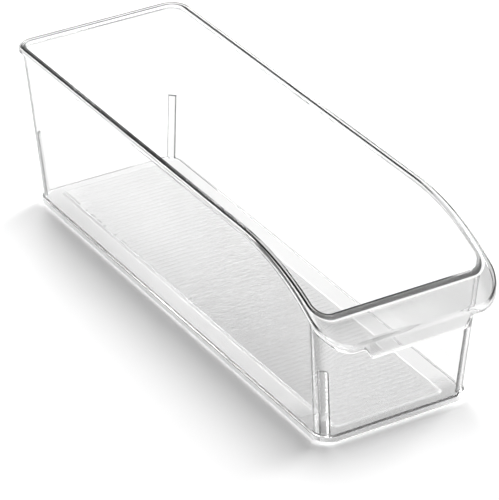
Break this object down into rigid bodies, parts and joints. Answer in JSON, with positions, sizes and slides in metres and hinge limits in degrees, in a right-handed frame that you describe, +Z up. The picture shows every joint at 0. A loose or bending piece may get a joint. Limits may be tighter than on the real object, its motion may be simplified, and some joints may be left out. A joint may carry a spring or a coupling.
{
  "type": "storage bin",
  "caption": "Clear plastic narrow storage bin with leaning walls, a rim whose edge falls towards the front, a pull lip with a grip tab, corner posts and a ribbed floor.",
  "frame": {"origin": "middle of the bin's bounding box in plan, on the table under its feet", "axes": "+Z up, +Y from the pull lip to the back, +X to the right of someone facing the pull lip"},
  "size_m": [0.102, 0.321, 0.0945],
  "materials": {
    "clear_plastic": "clear, polished"
  },
  "bodies": {
    "root": {"floor_plate": "clear_plastic", "floor_panel": "clear_plastic", "floor_ribs": "clear_plastic", "foot_front": "clear_plastic", "foot_back": "clear_plastic", "foot_left": "clear_plastic", "foot_right": "clear_plastic", "front_wall": "clear_plastic", "back_wall": "clear_plastic", "left_wall": "clear_plastic", "right_wall": "clear_plastic", "corner_front_left": "clear_plastic", "corner_front_right": "clear_plastic", "corner_back_left": "clear_plastic", "corner_back_right": "clear_plastic", "left_rim": "clear_plastic", "right_rim": "clear_plastic", "back_rim": "clear_plastic", "front_lip": "clear_plastic", "grip_tab": "clear_plastic", "post_front_left": "clear_plastic", "post_front_right": "clear_plastic", "post_back_left": "clear_plastic", "post_back_right": "clear_plastic"}
  },
  "joints": []
}
